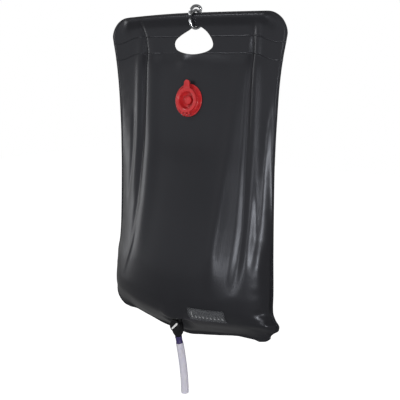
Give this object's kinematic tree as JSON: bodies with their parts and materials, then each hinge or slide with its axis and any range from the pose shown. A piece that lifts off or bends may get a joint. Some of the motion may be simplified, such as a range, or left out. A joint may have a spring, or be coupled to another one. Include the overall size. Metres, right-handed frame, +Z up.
{
  "type": "camp shower bag",
  "caption": "Black soft water bag with a rod in its top hem, hung from a wire hook, with a hinged red filler cap, a temperature strip and a turning stopcock over a short hose.",
  "frame": {"origin": "inner crown of the hook's upper loop, where the hook rests on what carries it", "axes": "+Z up, the front of the bag faces -Y, +X to the right as seen from the front"},
  "size_m": [0.3932, 0.1457, 0.7279],
  "materials": {
    "steel": "bright plated wire",
    "black_pvc": "glossy flexible sheet",
    "black_plastic": "satin moulding",
    "white_plastic": "satin moulding",
    "red_pvc": "glossy soft moulding",
    "clear_film": "clear film over the strip",
    "strip_card": "dark printed card",
    "rubber": "matt",
    "violet_plastic": "satin",
    "hose_pvc": "milky translucent tube"
  },
  "bodies": {
    "hook": {"s_hook": "steel"},
    "bag": {"front_panel": "black_pvc", "back_panel": "black_pvc", "handle_rod": "black_plastic", "filler_base": "red_pvc", "cap_hinge_pin": "steel", "temperature_strip": "strip_card", "strip_window": "clear_film", "outlet_washer": "rubber", "inner_washer": "rubber", "outlet_nut": "black_plastic", "tap_body": "black_plastic", "hose_collar": "violet_plastic", "water_hose": "hose_pvc"},
    "filler_cap": {"filler_cap": "red_pvc"},
    "tap_plug": {"tap_plug": "black_plastic", "plug_o_ring_front": "rubber", "plug_o_ring_rear": "rubber", "plug_washer": "steel", "plug_screw": "steel", "tap_pointer": "white_plastic"}
  },
  "joints": [
    {"name": "bag_swing", "type": "hinge", "parent": "hook", "child": "bag", "pos_m": [-0.004, 0, -0.0335], "axis": [1, 0, 0], "range_deg": [-3, 1.5]},
    {"name": "filler_cap_hinge", "type": "hinge", "parent": "bag", "child": "filler_cap", "pos_m": [-0.004, -0.0253, -0.1927], "axis": [1, 0, 0], "range_deg": [0, 150]},
    {"name": "tap_turn", "type": "hinge", "parent": "bag", "child": "tap_plug", "pos_m": [-0.004, -0.05364, -0.58707], "axis": [0, 1, 0], "range_deg": [-45, 45]}
  ]
}
